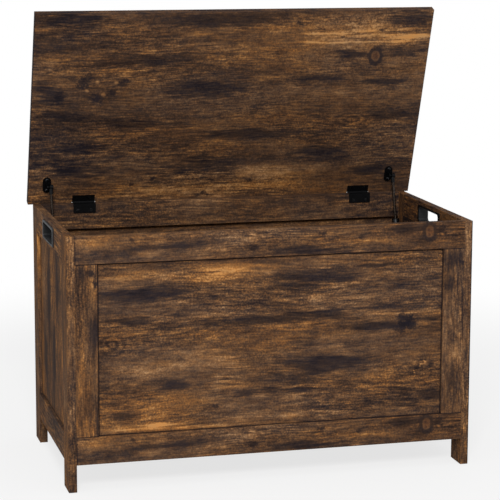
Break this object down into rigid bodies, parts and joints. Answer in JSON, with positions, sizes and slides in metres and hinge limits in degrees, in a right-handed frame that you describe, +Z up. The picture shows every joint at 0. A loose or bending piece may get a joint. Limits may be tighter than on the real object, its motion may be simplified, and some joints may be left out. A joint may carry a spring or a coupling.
{
  "type": "storage bench",
  "caption": "Lift-top storage bench: a framed wooden chest on short feet, with hand holes in its sides and a hinged lid held open by gas stays.",
  "frame": {"origin": "on the floor, at the centre of the open bench's plan", "axes": "+X to the bench's right as seen from its front, +Y to its back, +Z up; the front faces -Y"},
  "size_m": [0.78, 0.4047, 0.8448],
  "materials": {
    "board": "rustic brown laminate, satin",
    "black_metal": "black, satin",
    "black_screw": "blackened",
    "black_plastic": "matt",
    "dark_steel": "dark, polished",
    "bright_steel": "zinc plated",
    "dowel_wood": "raw beech"
  },
  "bodies": {
    "chest": {"left_front_side_stile": "board", "left_rear_side_stile": "board", "left_top_side_rail": "board", "left_bottom_side_rail": "board", "left_side_panel": "board", "left_hand_hole_insert": "black_plastic", "left_hand_hole_ring": "black_plastic", "left_hinge_body_leaf": "black_metal", "left_hinge_pin": "bright_steel", "left_stay_foot_bracket": "black_metal", "right_front_side_stile": "board", "right_rear_side_stile": "board", "right_top_side_rail": "board", "right_bottom_side_rail": "board", "right_side_panel": "board", "right_hand_hole_insert": "black_plastic", "right_hand_hole_ring": "black_plastic", "right_hinge_body_leaf": "black_metal", "right_hinge_pin": "bright_steel", "right_stay_foot_bracket": "black_metal", "front_top_rail": "board", "front_bottom_rail": "board", "front_left_stile": "board", "front_right_stile": "board", "front_panel": "board", "back_top_rail": "board", "back_bottom_rail": "board", "back_board": "board", "floor_board": "board", "back_board_screws": "bright_steel", "hinge_body_screws": "black_screw", "stay_body_screws": "black_screw", "wood_dowels": "dowel_wood", "cam_bolts": "bright_steel", "cam_locks": "bright_steel"},
    "lid": {"lid_board": "board", "left_hinge_lid_leaf": "black_metal", "right_hinge_lid_leaf": "black_metal", "hinge_lid_screws": "black_screw", "left_stay_lid_bracket": "black_metal", "right_stay_lid_bracket": "black_metal", "stay_lid_screws": "black_screw"},
    "left_rod": {"left_stay_socket": "black_plastic", "left_stay_rod": "dark_steel", "left_stay_piston": "black_plastic"},
    "left_tube": {"left_stay_tube": "black_metal", "left_stay_guide": "black_plastic", "left_stay_eye": "black_plastic"},
    "right_rod": {"right_stay_socket": "black_plastic", "right_stay_rod": "dark_steel", "right_stay_piston": "black_plastic"},
    "right_tube": {"right_stay_tube": "black_metal", "right_stay_guide": "black_plastic", "right_stay_eye": "black_plastic"}
  },
  "joints": [
    {"name": "lid_hinge", "type": "hinge", "parent": "chest", "child": "lid", "pos_m": [0, 0.18758, 0.46525], "axis": [-1, 0, 0], "range_deg": [-70, 0]},
    {"name": "left_stay_swing", "type": "hinge", "parent": "lid", "child": "left_rod", "pos_m": [-0.348, 0.16439, 0.50044], "axis": [-1, 0, 0], "range_deg": [0, 68.52]},
    {"name": "left_stay_slide", "type": "slide", "parent": "left_rod", "child": "left_tube", "axis": [0, 0.2629, 0.9648], "range_m": [0, 0.04798]},
    {"name": "right_stay_swing", "type": "hinge", "parent": "lid", "child": "right_rod", "pos_m": [0.348, 0.16439, 0.50044], "axis": [-1, 0, 0], "range_deg": [0, 68.52]},
    {"name": "right_stay_slide", "type": "slide", "parent": "right_rod", "child": "right_tube", "axis": [0, 0.2629, 0.9648], "range_m": [0, 0.04798]}
  ],
  "couplings": [
    {"joint": "left_stay_swing", "follows": "lid_hinge", "ratio": -0.97867},
    {"joint": "left_stay_slide", "follows": "lid_hinge", "m_per_rad": -0.039268},
    {"joint": "right_stay_swing", "follows": "lid_hinge", "ratio": -0.97867},
    {"joint": "right_stay_slide", "follows": "lid_hinge", "m_per_rad": -0.039268}
  ]
}
